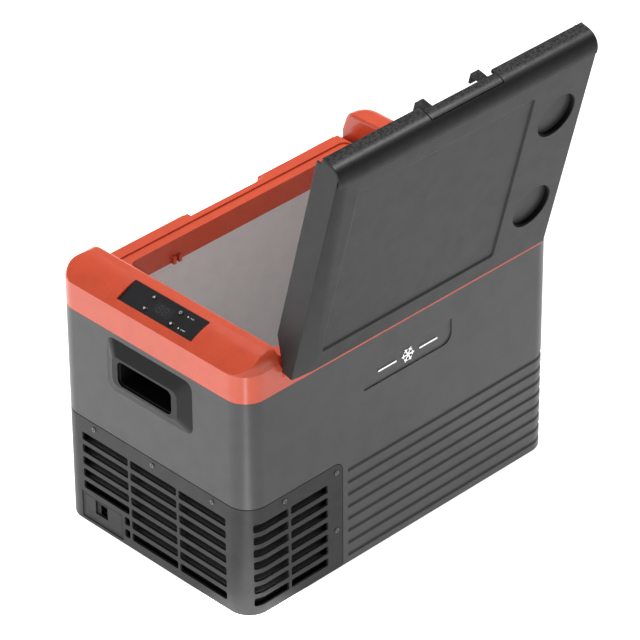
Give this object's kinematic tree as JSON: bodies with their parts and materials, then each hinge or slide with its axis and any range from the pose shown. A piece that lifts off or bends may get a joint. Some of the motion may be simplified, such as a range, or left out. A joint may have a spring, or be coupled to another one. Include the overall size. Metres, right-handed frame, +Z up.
{
  "type": "compressor cooler fridge",
  "caption": "Portable compressor cooler fridge with a hinged lid, front latch, carry handles, a sloping control panel and a vented compressor bay.",
  "frame": {"origin": "centre of the footprint on the floor, at the flat pad under the base", "axes": "+X away from the control panel end, +Y towards the latch side (the lid hinges on -Y), +Z up"},
  "size_m": [0.62, 0.4853, 0.7518],
  "materials": {
    "shell_plastic": "fine grained moulded grey",
    "grille_plastic": "fine grained moulded grey",
    "frame_plastic": "satin moulded orange",
    "lid_plastic": "fine grained moulded grey",
    "black_trim": "satin black with a grainy upper face",
    "liner_plastic": "smooth light grey",
    "handle_plastic": "satin dark grey",
    "pocket_plastic": "matt black",
    "panel_plastic": "gloss black",
    "display_smoke": "smoked window",
    "button_rubber": "matt black",
    "led_lens": "milky lens",
    "seal_rubber": "soft black",
    "foot_rubber": "matt black",
    "screw_steel": "zinc plated",
    "pin_steel": "ground",
    "badge_chrome": "bright",
    "foam": "cut polyurethane foam",
    "pan_steel": "black powder coat",
    "compressor_paint": "gloss black",
    "copper_tube": "drawn copper",
    "coil_aluminium": "mill finish",
    "fin_aluminium": "mill finish",
    "fan_plastic": "glass filled black",
    "board_laminate": "green solder mask",
    "socket_plastic": "black",
    "light_lens": "frosted lens"
  },
  "bodies": {
    "body": {"outer_shell": "shell_plastic", "grille_cover": "grille_plastic", "cover_screws": "screw_steel", "inlet_plate": "grille_plastic", "dc_socket": "socket_plastic", "base_pan": "pan_steel", "rubber_feet": "foot_rubber", "handle_bezel_left": "handle_plastic", "handle_bezel_right": "handle_plastic", "handle_cup_left": "pocket_plastic", "handle_cup_right": "pocket_plastic", "badge_emblem": "badge_chrome", "top_frame": "frame_plastic", "hinge_pins": "pin_steel", "inner_liner": "liner_plastic", "evaporator_coil": "coil_aluminium", "body_foam": "foam", "interior_light": "light_lens", "control_plate": "panel_plastic", "display_window": "display_smoke", "indicator_lights": "led_lens", "control_board": "board_laminate", "compressor": "compressor_paint", "compressor_mounts": "foot_rubber", "fan_shroud": "fan_plastic", "condenser": "fin_aluminium", "main_board": "board_laminate", "filter_drier": "copper_tube", "refrigerant_lines": "copper_tube"},
    "lid": {"lid_shell": "lid_plastic", "lid_front_trim": "black_trim", "lid_liner": "liner_plastic", "lid_foam": "foam", "lid_gasket": "seal_rubber", "latch_pin": "pin_steel", "latch_spring": "pin_steel"},
    "latch": {"latch_paddle": "black_trim"},
    "fan": {"fan_rotor": "fan_plastic"},
    "key_up": {"button_up": "button_rubber"},
    "key_down": {"button_down": "button_rubber"},
    "key_power": {"button_power": "button_rubber"},
    "key_settings": {"button_settings": "button_rubber"}
  },
  "joints": [
    {"name": "lid_hinge", "type": "hinge", "parent": "body", "child": "lid", "pos_m": [0.012, -0.181, 0.3915], "axis": [1, 0, 0], "range_deg": [-104.17, 0]},
    {"name": "latch_pivot", "type": "hinge", "parent": "lid", "child": "latch", "pos_m": [0.012, -0.28368, 0.73894], "axis": [1, 0, 0], "range_deg": [0, 10], "stiffness_Nm_per_rad": 0.4, "springref_deg": -8.59},
    {"name": "up_press", "type": "slide", "parent": "body", "child": "key_up", "axis": [0.4274, 0, -0.9041], "range_m": [0, 0.0005], "stiffness_N_per_m": 1500, "springref_m": -0.0003},
    {"name": "down_press", "type": "slide", "parent": "body", "child": "key_down", "axis": [0.4274, 0, -0.9041], "range_m": [0, 0.0005], "stiffness_N_per_m": 1500, "springref_m": -0.0003},
    {"name": "power_press", "type": "slide", "parent": "body", "child": "key_power", "axis": [0.4274, 0, -0.9041], "range_m": [0, 0.0005], "stiffness_N_per_m": 1500, "springref_m": -0.0003},
    {"name": "settings_press", "type": "slide", "parent": "body", "child": "key_settings", "axis": [0.4274, 0, -0.9041], "range_m": [0, 0.0005], "stiffness_N_per_m": 1500, "springref_m": -0.0003},
    {"name": "fan_spin", "type": "hinge", "parent": "body", "child": "fan", "pos_m": [-0.25, -0.082, 0.079], "axis": [1, 0, 0], "continuous": true}
  ]
}
